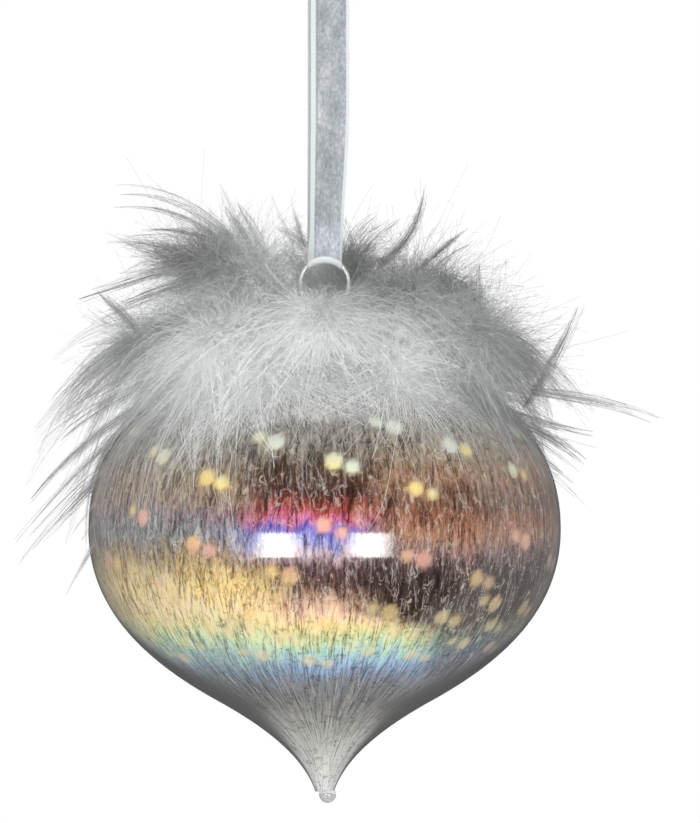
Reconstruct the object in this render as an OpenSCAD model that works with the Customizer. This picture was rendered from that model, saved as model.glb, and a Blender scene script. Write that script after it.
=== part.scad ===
// Glass drop ornament: a thin blown bauble with loose beads inside, a stamped cap on a
// spring-wire hanger, a collar of soft plumes and a narrow ribbon to hang it by.
// Millimetres, +Z up. The origin is the hanging point, inside the top of the ribbon's eye.

/* [Ribbon] */
// Width of the ribbon
ribbon_w = 7; // [5:0.5:8]
// Thickness of one layer of ribbon
ribbon_t = 0.5; // [0.3:0.05:0.6]
// Drop from the hanging point to the top of the wire ring
ribbon_drop = 64; // [58:1:90]
// Inside radius of the eye at the top of the ribbon
eye_r = 3; // [2.5:0.1:4]

/* [Wire hanger] */
// Outside diameter of the ring
ring_d = 8.8; // [8:0.1:10]
// Diameter of the spring wire
wire_d = 0.6; // [0.5:0.05:0.8]
// Length of each leg's lower, upright stretch
leg_len = 8; // [5:0.5:12]

/* [Cap] */
// Radius of the hole in the cap's skirt that the glass neck goes into
cap_in_r = 7.8; // [7.7:0.05:8]
// Height of the cap
cap_h = 5.8; // [5:0.1:6]
// Thickness of the cap's sheet metal
cap_t = 0.35; // [0.25:0.05:0.4]
// Number of scallops round the skirt's lower edge
scallops = 12; // [8:1:16]

/* [Glass] */
// Largest diameter of the bauble
glass_d = 80; // [76:1:90]
// Thickness of the glass wall
wall = 0.9; // [0.7:0.05:1]
// Outside radius of the neck
neck_r = 7.5; // [7.3:0.05:7.5]
// Radius of the solid bead at the tip
tip_r = 1.45; // [1.2:0.05:1.6]

/* [Beads inside] */
// Radius of the smallest bead
bead_r = 0.95; // [0.7:0.05:1.1]
// Number of beads clinging to the shoulder
upper_beads = 50; // [10:2:50]
// Number of beads clinging round the middle
middle_beads = 46; // [10:2:60]
// Number of beads clinging to the lower belly
lower_beads = 110; // [40:2:120]

/* [Plumes] */
// Thickness of a plume
plume_t = 1.3; // [1:0.1:1.5]
// Azimuth in degrees, reach from the axis and width of each plume over the shoulder
LOW = [[32, 37, 14], [77, 38, 13], [122, 37, 14], [167, 38, 13],
       [212, 38, 14], [257, 37, 14], [302, 36, 14], [347, 38, 13]];
// The same for each plume that spreads outwards
MID = [[10, 51, 13], [55, 46, 14], [100, 45, 14], [145, 47, 13],
       [190, 51, 14], [235, 46, 14], [280, 44, 14], [325, 47, 13]];
// The same for each plume of the crown above the cap
TOP = [[5, 40, 12], [48, 38, 13], [90, 36, 13], [132, 38, 13],
       [175, 40, 12], [217, 38, 12], [323, 38, 12]];

/* [Hidden] */
$fn = 64;

R = glass_d / 2;
wire_r = wire_d / 2;
ring_r = ring_d / 2 - wire_r;            // of the wire's centreline
ring_z = -ribbon_drop - ring_d / 2;      // height of the ring's centre
wire_z = ring_z + ring_r;                // height of the wire that the ribbon folds round
fold_gap = 0.1;                          // between the wire and the fabric round it
layer_y = wire_r + fold_gap + ribbon_t / 2;  // middle of each layer of ribbon, off the axis

knot_z = -14.5;                          // middle of the wrapped knot
knot_h = 4.6;
wrap_t = 0.6;                            // thickness of the turn wrapped round the knot
twist_z = -40;                           // where the ribbon is parted for its twist
bend_rise = 4.3;
bend_z = wire_z + bend_rise;             // where it is parted for the swing
joint_gap = 0.3;

cap_drop = 1.4;                          // from the ring's underside to the cap
cap_z = ring_z - ring_d / 2 - cap_drop;  // top face of the cap
cap_gap = 0.35;                          // under the cap's top, over the glass rim
rim_z = cap_z - cap_t - cap_gap;         // rim of the glass neck
neck_h = 5.7;                            // of the upright part of the neck
shoulder = 0.75 * R;                     // height of the shoulder curve above the widest ring
shoulder_power = 2.2;
// height, as a part of the shoulder's, at which the shoulder curve meets the neck
neck_part = pow(1 - pow(neck_r / R, shoulder_power), 1 / shoulder_power);
wide_z = rim_z - neck_h - shoulder * neck_part; // height of the widest ring of the glass
pair_step = 2.8;                         // round the wall between the two beads of a pair
pair_drop = 0.02;                        // and down the outline
tip_lean = 0.5;
tip_sink = 0.55;
core_r = 10.6;                           // outside of the wound core of the plumes
core_h = 4.5;
core_top = rim_z - 0.1;

leg_x = 0.75;                            // each leg's distance from the axis at the ring
turn_r = 1;                              // bend where ring turns into leg
set_swell = 0.03;                        // of the wire where it was set to a new direction
slot_gap = 0.15;                         // round each leg in the cap
scallop_r = 1.1;
turn_a = asin((leg_x + turn_r) / (ring_r + turn_r));
turn_z = ring_z - (ring_r + turn_r) * cos(turn_a);

// ---- curves ----
// A point of a Bezier curve through the control points c.
function bez(c, t) = len(c) == 1 ? c[0]
    : bez([for (i = [0:len(c) - 2]) (1 - t) * c[i] + t * c[i + 1]], t);
// The glass outline, [radius, height]: u from 1 at the axis above the neck to 0 at the widest
// ring is the shoulder, 0 to -1 the convex belly, and -1 to -2 the hollow sweep to the tip.
BELLY = [[1, 0], [1, -0.3625], [0.7125, -0.58], [0.45, -0.725]];
SWEEP = [[0.45, -0.725], [0.2525, -0.835], [0.09, -0.96], [0.04, -1.1075]];
function outline(u) = u >= 0
    ? [R * pow(cos(90 * u), 2 / shoulder_power), wide_z + shoulder * pow(sin(90 * u), 2 / shoulder_power)]
    : [0, wide_z] + R * (u >= -1 ? bez(BELLY, -u) : bez(SWEEP, -u - 1));
// The unit normal of a run of points at point i, pointing left of the way they go.
function normal(p, i) = let (a = p[max(i - 1, 0)], b = p[min(i + 1, len(p) - 1)], d = (b - a) / norm(b - a))
    [-d[1], d[0]];
// A closed band along the points p, from distance a to distance b on their left.
function band(p, a, b) = concat([for (i = [0:len(p) - 1]) p[i] + a * normal(p, i)],
    [for (i = [len(p) - 1:-1:0]) p[i] + b * normal(p, i)]);
// A point inside the glass wall, gap away from its outer face.
function inside(u, gap) = let (d = outline(u + 0.01) - outline(u - 0.01), n = [-d[1], d[0]] / norm(d))
    outline(u) + gap * n;

// ---- ribbon ----
// One flat layer of ribbon between two heights; side is -1 in front and 1 behind.
module layer(side, low, high) {
    color("silver")
        translate([-ribbon_w / 2, side * layer_y - ribbon_t / 2, low])
            cube([ribbon_w, ribbon_t, high - low]);
}
// The strip turns over the hook in a round eye and comes together in the knot.
module ribbon_eye() {
    eye = eye_r + ribbon_t / 2;
    line = concat([[layer_y, knot_z]], [[layer_y, knot_z + knot_h / 2]],
        [for (a = [-20:20:200]) [eye * cos(a), eye * sin(a) - eye_r]],
        [[-layer_y, knot_z + knot_h / 2]], [[-layer_y, knot_z]]);
    color("silver")
        translate([-ribbon_w / 2, 0, 0])
            rotate([90, 0, 90])
                linear_extrude(ribbon_w)
                    polygon(band(line, -ribbon_t / 2, ribbon_t / 2));
}
// A turn of the same ribbon is wrapped and sewn round both layers.
module ribbon_knot() {
    color("lightgray")
        translate([0, 0, knot_z - knot_h / 2])
            linear_extrude(knot_h)
                difference() {
                    union() {
                        square([ribbon_w + 0.2, 2 * layer_y + ribbon_t + 2 * wrap_t], center = true);
                        for (s = [-1, 1])
                            translate([s * (ribbon_w / 2 + 0.1), 0])
                                circle(d = 2 * layer_y + ribbon_t + 2 * wrap_t);
                    }
                    square([ribbon_w + 0.1, 2 * layer_y + ribbon_t + 0.1], center = true);
                }
}
module ribbon_front_upper() { layer(-1, twist_z, knot_z); }
module ribbon_back_upper() { layer(1, twist_z, knot_z); }
module ribbon_front_lower() { layer(-1, bend_z, twist_z - joint_gap); }
module ribbon_back_lower() { layer(1, bend_z, twist_z - joint_gap); }
// The fold lies round the ring's wire and narrows a little to its arc.
module ribbon_fold() {
    half = asin((ribbon_w / 2 - 0.5) / ring_r);
    top = bend_z - joint_gap - ring_z;
    lip = ring_r - wire_r - fold_gap;
    color("silver")
        translate([0, 0, ring_z])
            rotate([90, 0, 0])
                difference() {
                    linear_extrude(2 * layer_y + ribbon_t, center = true)
                        difference() {
                            intersection() {
                                polygon([[0, 0], [top * tan(half), top], [-top * tan(half), top]]);
                                translate([-ribbon_w / 2, 0]) square([ribbon_w, top]);
                            }
                            circle(lip - ribbon_t);
                        }
                    linear_extrude(2 * layer_y - ribbon_t, center = true)
                        difference() {
                            translate([-10, 0]) square([20, top + 1]);
                            circle(lip);
                        }
                }
}

// ---- wire hanger ----
// The wire swells by a hair where it was set to a new direction.
module set() { sphere(wire_r + set_swell); }
// Draws a run of wire that starts downwards: [length] is straight, [radius, angle] a bend
// towards +X, or towards -X where the angle is negative.
module wire_run(steps, i = 0) {
    if (i < len(steps)) {
        s = steps[i];
        if (len(s) == 1) {
            translate([0, 0, -s[0]]) cylinder(r = wire_r, h = s[0]);
            translate([0, 0, -s[0]]) {
                set();
                wire_run(steps, i + 1);
            }
        } else {
            way = sign(s[1]);
            a = abs(s[1]);
            mirror([way < 0 ? 1 : 0, 0, 0])
                translate([s[0], 0, 0])
                    rotate([-90, 0, 180])
                        rotate_extrude(angle = a)
                            translate([s[0], 0]) circle(wire_r);
            translate([way * s[0] * (1 - cos(a)), 0, -s[0] * sin(a)])
                rotate([0, -way * a, 0]) {
                    set();
                    wire_run(steps, i + 1);
                }
        }
    }
}
// A ring whose two ends turn down through the cap and bow out against the neck's inside.
module hanger_wire() {
    color("gainsboro") {
        translate([0, 0, ring_z])
            rotate([90, 0, 0])
                rotate([0, 0, -90 + turn_a])
                    rotate_extrude(angle = 360 - 2 * turn_a)
                        translate([ring_r, 0]) circle(wire_r);
        for (m = [0, 1])
            mirror([m, 0, 0]) {
                translate([leg_x + turn_r, 0, turn_z])
                    rotate([90, 0, 0])
                        rotate([0, 0, 90 + turn_a])
                            rotate_extrude(angle = 90 - turn_a)
                                translate([turn_r, 0]) circle(wire_r);
                translate([ring_r * sin(turn_a), 0, ring_z - ring_r * cos(turn_a)]) set();
                translate([leg_x, 0, turn_z]) {
                    set();
                    wire_run([[3.2], [1.5, 48], [5.4], [1.5, -52], [leg_len]]);
                }
            }
    }
}

// ---- cap ----
// A drawn metal cup with a scalloped skirt and one slot for each leg of the hanger.
module cap_crown() {
    out_r = cap_in_r + cap_t;
    color("silver")
        difference() {
            translate([0, 0, cap_z - cap_h]) cylinder(r = out_r, h = cap_h);
            translate([0, 0, cap_z - cap_h - 1]) cylinder(r = cap_in_r, h = cap_h + 1 - cap_t);
            for (m = [-1, 1])
                translate([m * leg_x, 0, cap_z]) cylinder(r = wire_r + slot_gap, h = 4, center = true);
            for (i = [0:scallops - 1])
                rotate([0, 0, i * 360 / scallops])
                    translate([out_r, 0, cap_z - cap_h])
                        rotate([0, 90, 0])
                            cylinder(r = scallop_r, h = 4, center = true);
        }
}

// ---- plumes ----
// The corded core that the plumes are bound to, wound round the cap.
module plume_core() {
    in_r = cap_in_r + cap_t + 0.1;
    bevel = 0.6;
    color("whitesmoke")
        rotate_extrude()
            polygon([[in_r, core_top - bevel], [in_r + bevel, core_top],
                [core_r, core_top], [core_r, core_top - core_h],
                [in_r + bevel, core_top - core_h], [in_r, core_top - core_h + bevel]]);
}
// The outline of a plume seen from above, from the axis out to its reach.
module leaf(reach, width) {
    n = 10;
    from = core_r - 2;
    side = [for (i = [0:n]) let (s = i / n)
        [from + (reach - from) * s, width / 2 * (0.14 + 0.86 * pow(sin(180 * pow(s, 0.8)), 0.9))]];
    polygon(concat(side, [for (i = [n:-1:0]) [side[i][0], -side[i][1]]]));
}
// A plume is the part of a curved skin that lies over its outline. The skin follows the
// points p, [radius, height], between the distances a and b on their left.
module plume(spec, p, a, b) {
    color("white")
        rotate([0, 0, spec[0]])
            intersection() {
                rotate([0, 0, -40]) rotate_extrude(angle = 80) polygon(band(p, a, b));
                translate([0, 0, wide_z - 40]) linear_extrude(120) leaf(spec[1], spec[2]);
            }
}
module low_plume(spec) {
    difference() {
        plume(spec, [for (i = [0:9]) outline(0.9 - 0.07 * i)], 1, 1 + plume_t);
        translate([0, 0, wide_z]) cylinder(r = core_r, h = 60);
    }
}
module mid_plume(spec) {
    SKIN = [[9.5, rim_z - 2.7], [32, rim_z + 10.9], [52, rim_z - 19]];
    difference() {
        plume(spec, [for (i = [0:8]) bez(SKIN, i / 8)], -plume_t / 2, plume_t / 2);
        translate([0, 0, wide_z]) cylinder(r = core_r, h = 60);
    }
}
module top_plume(spec) {
    SKIN = [[9.3, core_top - 1], [15, core_top + 15], [41, core_top + 8]];
    intersection() {
        plume(spec, [for (i = [0:8]) bez(SKIN, i / 8)], -plume_t / 2, plume_t / 2);
        translate([-60, -60, core_top]) cube([120, 120, 60]);
    }
}
module plume_low_1() { low_plume(LOW[0]); }
module plume_low_2() { low_plume(LOW[1]); }
module plume_low_3() { low_plume(LOW[2]); }
module plume_low_4() { low_plume(LOW[3]); }
module plume_low_5() { low_plume(LOW[4]); }
module plume_low_6() { low_plume(LOW[5]); }
module plume_low_7() { low_plume(LOW[6]); }
module plume_low_8() { low_plume(LOW[7]); }
module plume_mid_1() { mid_plume(MID[0]); }
module plume_mid_2() { mid_plume(MID[1]); }
module plume_mid_3() { mid_plume(MID[2]); }
module plume_mid_4() { mid_plume(MID[3]); }
module plume_mid_5() { mid_plume(MID[4]); }
module plume_mid_6() { mid_plume(MID[5]); }
module plume_mid_7() { mid_plume(MID[6]); }
module plume_mid_8() { mid_plume(MID[7]); }
module plume_top_1() { top_plume(TOP[0]); }
module plume_top_2() { top_plume(TOP[1]); }
module plume_top_3() { top_plume(TOP[2]); }
module plume_top_4() { top_plume(TOP[3]); }
module plume_top_5() { top_plume(TOP[4]); }
module plume_top_6() { top_plume(TOP[5]); }
module plume_top_7() { top_plume(TOP[6]); }

// ---- glass ----
// The point is drawn a little to one side, and its bead hangs from it.
module at_tip() { translate([tip_lean, 0, wide_z + SWEEP[3][1] * R - tip_sink]) children(); }
// One skin of revolution: neck, shoulder, belly, sweep and a solid point.
module glass_shell() {
    top_u = asin(pow(neck_part, shoulder_power / 2)) / 90;
    skin = concat([for (i = [0:12]) top_u * (1 - i / 12)], [for (i = [1:10]) -i / 10],
        [for (i = [1:9]) -1 - i / 10]);
    outer = [for (u = skin) outline(u)];
    inner = [for (i = [len(skin) - 3:-1:1]) outer[i] - wall * normal(outer, i)];
    foot = outline(-2);
    color("lightsteelblue", 0.5)
        difference() {
            rotate_extrude()
                polygon(concat([[neck_r, rim_z]], outer, [foot, [0, foot[1]], [0, inner[0][1] - 0.6]],
                    [[inner[0][0] * 0.7, inner[0][1] - 0.5]], inner,
                    [[neck_r - wall, outer[0][1] - wall]], [[neck_r - wall, rim_z]]));
            at_tip() sphere(tip_r);
        }
}
module tip_bead() { color("gainsboro") at_tip() sphere(tip_r); }

// ---- beads ----
// Beads cling in pairs inside the wall between outline places a and b, each pair a golden angle
// on from the last one.
module beads(count, a, b, shift) {
    for (i = [0:count - 1]) {
        pair = floor(i / 2);
        second = i % 2;
        r = bead_r + 0.3 * ((i * 7 + shift) % 5) / 4;
        place = a + (b - a) * (2 * pair + 0.5) / count;
        p = inside(place - second * pair_drop, wall + r + 0.05);
        rotate([0, 0, pair * 137.508 + second * pair_step / p[0] * 180 / PI + shift])
            translate([p[0], 0, p[1]])
                sphere(r, $fn = 24);
    }
}
module beads_upper() { color("lemonchiffon") beads(upper_beads, 0.42, 0.12, 10); }
module beads_middle() { color("pink") beads(middle_beads, 0.08, -0.22, 80); }
module beads_lower() { color("wheat") beads(lower_beads, -0.27, -0.62, 40); }

ribbon_eye();
ribbon_knot();
ribbon_front_upper();
ribbon_back_upper();
ribbon_front_lower();
ribbon_back_lower();
ribbon_fold();
hanger_wire();
cap_crown();
plume_core();
plume_low_1();
plume_low_2();
plume_low_3();
plume_low_4();
plume_low_5();
plume_low_6();
plume_low_7();
plume_low_8();
plume_mid_1();
plume_mid_2();
plume_mid_3();
plume_mid_4();
plume_mid_5();
plume_mid_6();
plume_mid_7();
plume_mid_8();
plume_top_1();
plume_top_2();
plume_top_3();
plume_top_4();
plume_top_5();
plume_top_6();
plume_top_7();
glass_shell();
tip_bead();
beads_upper();
beads_middle();
beads_lower();
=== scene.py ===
"""Looks of the glass drop ornament. Metres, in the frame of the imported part."""
import math
import bpy
import numpy as np
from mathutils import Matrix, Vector


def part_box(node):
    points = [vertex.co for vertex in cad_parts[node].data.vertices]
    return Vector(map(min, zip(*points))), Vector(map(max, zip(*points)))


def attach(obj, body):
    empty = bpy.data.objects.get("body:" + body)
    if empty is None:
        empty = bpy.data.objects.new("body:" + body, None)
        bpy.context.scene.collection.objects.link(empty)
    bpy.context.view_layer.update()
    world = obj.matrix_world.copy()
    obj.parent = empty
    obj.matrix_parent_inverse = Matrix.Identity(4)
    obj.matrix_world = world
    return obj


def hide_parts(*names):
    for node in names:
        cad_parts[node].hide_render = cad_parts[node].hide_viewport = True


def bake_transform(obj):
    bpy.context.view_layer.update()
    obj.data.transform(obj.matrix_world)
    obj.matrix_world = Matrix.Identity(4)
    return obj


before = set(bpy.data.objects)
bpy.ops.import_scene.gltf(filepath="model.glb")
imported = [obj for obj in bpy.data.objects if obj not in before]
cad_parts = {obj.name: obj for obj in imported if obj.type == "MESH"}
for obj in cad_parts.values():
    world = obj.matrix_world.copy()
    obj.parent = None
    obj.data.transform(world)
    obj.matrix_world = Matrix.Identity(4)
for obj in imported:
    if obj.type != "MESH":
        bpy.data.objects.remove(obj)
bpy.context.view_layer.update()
MM = 0.001
BEADS = ("beads_upper", "beads_middle", "beads_lower")

# ---- driving sizes, from the frame's boxes ----
glass_low, glass_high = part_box("glass_shell")
_, wire_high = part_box("hanger_wire")
_, fold_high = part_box("ribbon_fold")
knot_low, knot_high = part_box("ribbon_knot")
eye_low, eye_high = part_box("ribbon_eye")
R = (glass_high.x - glass_low.x) / 2     # of the glass at its widest ring
RING_TOP = wire_high.z
RIM_Z = glass_high.z

# ---- driving sizes that no box shows, as in the part's source ----
RING_OUT = 4.4 * MM                      # outer radius of the ring
SET_SWELL = 0.03 * MM                    # the wire swells by this where it was bent
WIRE_R = wire_high.y - SET_SWELL
RING_R = RING_OUT - WIRE_R               # of the wire's centreline
RING_Z = RING_TOP - RING_OUT             # height of the ring's centre
NECK_R = 7.5 * MM                        # outside of the glass neck
NECK_LONG = 5.7 * MM
WALL = 0.9 * MM                          # of the glass
SHOULDER = 0.75 * R                      # height of the full shoulder curve, were there no neck
POWER = 2.2                              # of the shoulder's superellipse
NECK_PART = (1 - (NECK_R / R) ** POWER) ** (1 / POWER)  # the part of it that lies below the neck
WIDE_Z = RIM_Z - NECK_LONG - SHOULDER * NECK_PART       # height of the widest ring
LAYER_Y = WIRE_R + 0.35 * MM             # each ribbon layer's middle, before and behind the wire


# ---- camera ----
def set_camera():
    """A long lens level with the ornament, a little to its right, as in a shop picture."""
    view_height = 139.5 * MM         # at the ornament
    aim = Vector((4.3 * MM, 0, RING_TOP - 26.2 * MM))
    distance = 0.95
    data = bpy.data.cameras.new("camera")
    data.sensor_width = 36
    data.lens = data.sensor_width * distance / view_height
    data.clip_start, data.clip_end = 0.01, 20
    camera = bpy.data.objects.new("camera", data)
    camera.location = aim + Vector((0, -distance, 0))
    camera.rotation_euler = (math.pi / 2, 0, 0)
    bpy.context.collection.objects.link(camera)
    bpy.context.scene.camera = camera


set_camera()


# ---- mesh building ----
def new_piece(name, mesh, material, body=None):
    """An object with one material, which moves with a body if one is given."""
    obj = bpy.data.objects.new(name, mesh)
    bpy.context.collection.objects.link(obj)
    mesh.materials.append(material)
    if body:
        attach(obj, body)
    return obj


def quads_mesh(name, points, quads):
    """A smooth mesh from an array of points and an array of four-corner faces."""
    mesh = bpy.data.meshes.new(name)
    points = np.asarray(points, np.float32).reshape(-1, 3)
    quads = np.asarray(quads, np.int32).reshape(-1, 4)
    mesh.vertices.add(len(points))
    mesh.vertices.foreach_set("co", points.ravel())
    mesh.loops.add(quads.size)
    mesh.loops.foreach_set("vertex_index", quads.ravel())
    mesh.polygons.add(len(quads))
    mesh.polygons.foreach_set("loop_start", np.arange(0, quads.size, 4, dtype=np.int32))
    mesh.polygons.foreach_set("use_smooth", np.full(len(quads), True))
    mesh.update(calc_edges=True)
    mesh.validate()
    return mesh


def slab(name, grid, thickness):
    """A closed soft slab: grid is rows of points on its middle surface."""
    grid = np.asarray(grid, float)
    rows, columns = grid.shape[:2]
    across, along = np.gradient(grid, axis=1), np.gradient(grid, axis=0)
    normal = np.cross(across, along)
    normal /= np.linalg.norm(normal, axis=2, keepdims=True)
    layers = np.stack([grid + normal * thickness / 2, grid - normal * thickness / 2])
    index = np.arange(2 * rows * columns).reshape(2, rows, columns)
    top, under = index
    faces = [
        np.stack([top[:-1, :-1], top[:-1, 1:], top[1:, 1:], top[1:, :-1]], -1),
        np.stack([under[:-1, :-1], under[1:, :-1], under[1:, 1:], under[:-1, 1:]], -1),
    ]
    rims = ((top[0], under[0]), (under[-1], top[-1]), (under[:, 0], top[:, 0]), (top[:, -1], under[:, -1]))
    for a, b in rims:
        faces.append(np.stack([a[:-1], b[:-1], b[1:], a[1:]], -1))
    mesh = quads_mesh(name, layers, np.concatenate([f.reshape(-1, 4) for f in faces]))
    mesh.set_sharp_from_angle(angle=math.radians(40))
    return mesh


def lathe(name, outline, steps):
    """A closed surface of revolution about Z; outline is a closed loop of (radius, z)."""
    outline = np.asarray(outline, float)
    turn = np.linspace(0, 2 * math.pi, steps, endpoint=False)
    points = np.stack([
        outline[None, :, 0] * np.cos(turn)[:, None],
        outline[None, :, 0] * np.sin(turn)[:, None],
        np.broadcast_to(outline[None, :, 1], (steps, len(outline))),
    ], -1)
    index = np.arange(steps * len(outline)).reshape(steps, len(outline))
    beside, below = np.roll(index, -1, 0), np.roll(index, -1, 1)
    both = np.roll(beside, -1, 1)
    return quads_mesh(name, points, np.stack([index, below, both, beside], -1))


# ---- materials ----
class Shader:
    """Builds one procedural material, node by node."""

    def __init__(self, name):
        self.material = bpy.data.materials.new(name)
        self.material.use_nodes = True
        self.tree = self.material.node_tree
        self.bsdf = self.tree.nodes["Principled BSDF"]
        self.place = self.add("ShaderNodeTexCoord").outputs["Object"]

    def add(self, kind, **settings):
        node = self.tree.nodes.new(kind)
        for key, value in settings.items():
            setattr(node, key, value)
        return node

    def link(self, value, socket):
        if isinstance(value, bpy.types.NodeSocket):
            self.tree.links.new(value, socket)
        else:
            socket.default_value = value

    def put(self, **sockets):
        """Values for the Principled shader's sockets; underscores stand for spaces."""
        for key, value in sockets.items():
            self.link(value, self.bsdf.inputs[key.replace("_", " ")])

    def math(self, operation, a, b=0.0):
        node = self.add("ShaderNodeMath", operation=operation)
        self.link(a, node.inputs[0])
        self.link(b, node.inputs[1])
        return node.outputs[0]

    def vector(self, operation, a, b=(0, 0, 0)):
        node = self.add("ShaderNodeVectorMath", operation=operation)
        self.link(a, node.inputs[0])
        self.link(b, node.inputs[1])
        return node.outputs[0]

    def axes(self):
        """The place's x, y and z."""
        node = self.add("ShaderNodeSeparateXYZ")
        self.link(self.place, node.inputs[0])
        return node.outputs

    def scale(self, vector, factors):
        return self.vector("MULTIPLY", vector, factors)

    def noise(self, vector, scale, detail, rough=0.5, distortion=0.0):
        node = self.add("ShaderNodeTexNoise")
        self.link(vector, node.inputs["Vector"])
        node.inputs["Scale"].default_value = scale
        node.inputs["Detail"].default_value = detail
        node.inputs["Roughness"].default_value = rough
        node.inputs["Distortion"].default_value = distortion
        return node.outputs["Fac"]

    def span(self, value, low, high, to_low=0.0, to_high=1.0, smooth=True):
        """Maps low..high to to_low..to_high, and holds the ends."""
        node = self.add("ShaderNodeMapRange")
        node.interpolation_type = "SMOOTHSTEP" if smooth else "LINEAR"
        node.clamp = True
        for socket, given in zip(node.inputs, (value, low, high, to_low, to_high)):
            self.link(given, socket)
        return node.outputs[0]

    def ramp(self, value, stops):
        """A colour ramp; stops are (place, (r, g, b)) in sRGB 0 to 255."""
        node = self.add("ShaderNodeValToRGB")
        elements = node.color_ramp.elements
        while len(elements) < len(stops):
            elements.new(1.0)
        for element, (place, colour) in zip(elements, stops):
            element.position = place
            element.color = srgb(*colour)
        self.link(value, node.inputs[0])
        return node.outputs[0]

    def mix(self, amount, a, b, mode="MIX"):
        """Colours a and b, which are this node's sockets 6 and 7, blended into its output 2."""
        node = self.add("ShaderNodeMix", data_type="RGBA", blend_type=mode)
        self.link(amount, node.inputs[0])
        self.link(a, node.inputs[6])
        self.link(b, node.inputs[7])
        return node.outputs[2]

    def bump(self, height, distance):
        node = self.add("ShaderNodeBump")
        node.inputs["Strength"].default_value = 1.0
        node.inputs["Distance"].default_value = distance
        self.link(height, node.inputs["Height"])
        return node.outputs[0]


def srgb(r, g, b):
    """sRGB 0 to 255 as a linear colour."""
    parts = (r / 255, g / 255, b / 255)
    linear = [c / 12.92 if c <= 0.04045 else ((c + 0.055) / 1.055) ** 2.4 for c in parts]
    return (*linear, 1.0)


def along_meridians(s, twist, stretch):
    """A coordinate that changes fast round the axis and slowly up it, so noise in it makes
    streaks that run from neck to tip. twist leans them; stretch is their fineness up the axis."""
    _, _, z = s.axes()
    flat = s.vector("NORMALIZE", s.scale(s.place, (1, 1, 0)))
    turned = s.add("ShaderNodeVectorRotate", rotation_type="Z_AXIS")
    s.link(flat, turned.inputs["Vector"])
    s.link(s.math("MULTIPLY", z, twist), turned.inputs["Angle"])
    lift = s.add("ShaderNodeCombineXYZ")
    s.link(s.math("MULTIPLY", z, stretch), lift.inputs[2])
    return s.vector("ADD", turned.outputs[0], lift.outputs[0])


# Colour of the film by height in mm above the widest ring, on the left, in the middle and on the right
FILM_LEFT = [
    (22, (166, 166, 166)), (14, (168, 163, 152)), (9, (172, 153, 128)), (6, (170, 148, 128)),
    (3, (150, 135, 140)), (0, (145, 150, 152)), (-3, (160, 140, 112)), (-6, (215, 190, 130)),
    (-9, (248, 220, 150)), (-12, (255, 228, 170)), (-14.5, (250, 232, 160)), (-17, (215, 240, 180)),
    (-20, (170, 205, 195)), (-22.5, (135, 160, 175)), (-26, (90, 96, 98)), (-30, (90, 90, 88)),
    (-34, (150, 150, 146)), (-39, (200, 200, 196)), (-44, (230, 230, 227)),
]
FILM_MIDDLE = [
    (22, (172, 171, 172)), (14, (160, 152, 142)), (10.5, (96, 72, 52)), (6.5, (88, 50, 44)),
    (4, (180, 85, 70)), (2.2, (225, 120, 160)), (0.5, (115, 105, 205)), (-1.5, (165, 170, 232)),
    (-3.5, (205, 180, 185)), (-5.5, (105, 76, 78)), (-8, (110, 80, 70)), (-10.5, (195, 160, 135)),
    (-13, (240, 205, 175)), (-15.5, (248, 228, 155)), (-17.5, (222, 242, 175)),
    (-19.5, (185, 235, 225)), (-22, (150, 185, 228)), (-24.5, (132, 138, 148)), (-28, (128, 127, 121)),
    (-34, (186, 186, 180)), (-39, (218, 218, 213)), (-44, (232, 232, 229)),
]
FILM_RIGHT = [
    (22, (162, 163, 162)), (13.5, (174, 160, 138)), (9, (176, 136, 108)), (5, (132, 96, 78)),
    (2.5, (172, 116, 90)), (0, (182, 134, 106)), (-2.5, (150, 118, 112)), (-5, (96, 76, 76)),
    (-8, (68, 50, 46)), (-12, (66, 46, 34)), (-14.5, (78, 62, 38)), (-16.5, (108, 120, 98)),
    (-19.5, (98, 112, 132)), (-22.5, (94, 98, 106)), (-26, (88, 90, 90)), (-30, (92, 92, 90)),
    (-34, (150, 150, 146)), (-39, (200, 200, 196)), (-44, (230, 230, 227)),
]
FILM_TOP, FILM_BOTTOM = 24, -46          # the heights that the colours are spread between


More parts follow.
